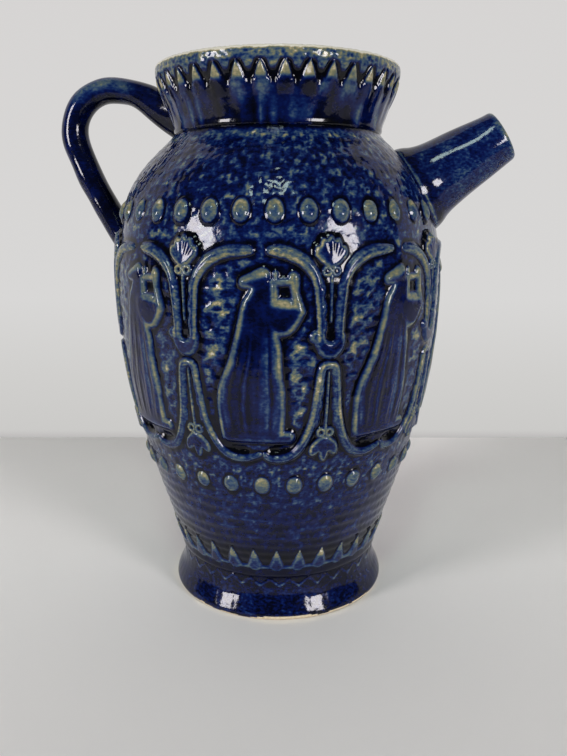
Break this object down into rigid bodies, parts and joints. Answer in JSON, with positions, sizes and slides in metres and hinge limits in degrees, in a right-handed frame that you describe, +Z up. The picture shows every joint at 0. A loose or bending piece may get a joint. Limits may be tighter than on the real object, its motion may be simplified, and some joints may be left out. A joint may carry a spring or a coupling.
{
  "type": "stoneware pitcher",
  "caption": "Glazed stoneware pitcher with a swelling belly, petal-edged collar, pulled loop handle, tube spout and a moulded frieze of robed pipers under an arcade.",
  "frame": {"origin": "on the jug's axis, on the plane that the foot ring stands on", "axes": "+Z up the jug's axis to the mouth, +X along the spout, -X along the handle, -Y towards the pictured side"},
  "size_m": [0.2417, 0.178, 0.2816],
  "materials": {
    "cobalt_glaze": "glossy cobalt-blue stoneware glaze, almost black where it pools, olive-brown on edges",
    "figure_glaze": "the same glossy glaze, thinner and lighter blue over the raised robes",
    "relief_glaze": "the same glossy glaze, broken to olive-brown along the raised bands and leaves"
  },
  "bodies": {
    "root": {"foot_ring": "cobalt_glaze", "body": "cobalt_glaze", "neck_collar": "cobalt_glaze", "spout": "cobalt_glaze", "handle": "cobalt_glaze", "musician_1": "figure_glaze", "musician_2": "figure_glaze", "musician_3": "figure_glaze", "musician_4": "figure_glaze", "musician_5": "figure_glaze", "musician_6": "figure_glaze", "musician_7": "figure_glaze", "musician_8": "figure_glaze", "arch_1": "relief_glaze", "arch_2": "relief_glaze", "arch_3": "relief_glaze", "arch_4": "relief_glaze", "arch_5": "relief_glaze", "arch_6": "relief_glaze", "arch_7": "relief_glaze", "arch_8": "relief_glaze", "cradle_1": "relief_glaze", "cradle_2": "relief_glaze", "cradle_3": "relief_glaze", "cradle_4": "relief_glaze", "cradle_5": "relief_glaze", "cradle_6": "relief_glaze", "cradle_7": "relief_glaze", "cradle_8": "relief_glaze", "blossom_1": "relief_glaze", "blossom_2": "relief_glaze", "blossom_3": "relief_glaze", "blossom_4": "relief_glaze", "blossom_5": "relief_glaze", "blossom_6": "relief_glaze", "blossom_7": "relief_glaze", "blossom_8": "relief_glaze", "palmette_1": "relief_glaze", "palmette_2": "relief_glaze", "palmette_3": "relief_glaze", "palmette_4": "relief_glaze", "palmette_5": "relief_glaze", "palmette_6": "relief_glaze", "palmette_7": "relief_glaze", "palmette_8": "relief_glaze"}
  },
  "joints": []
}
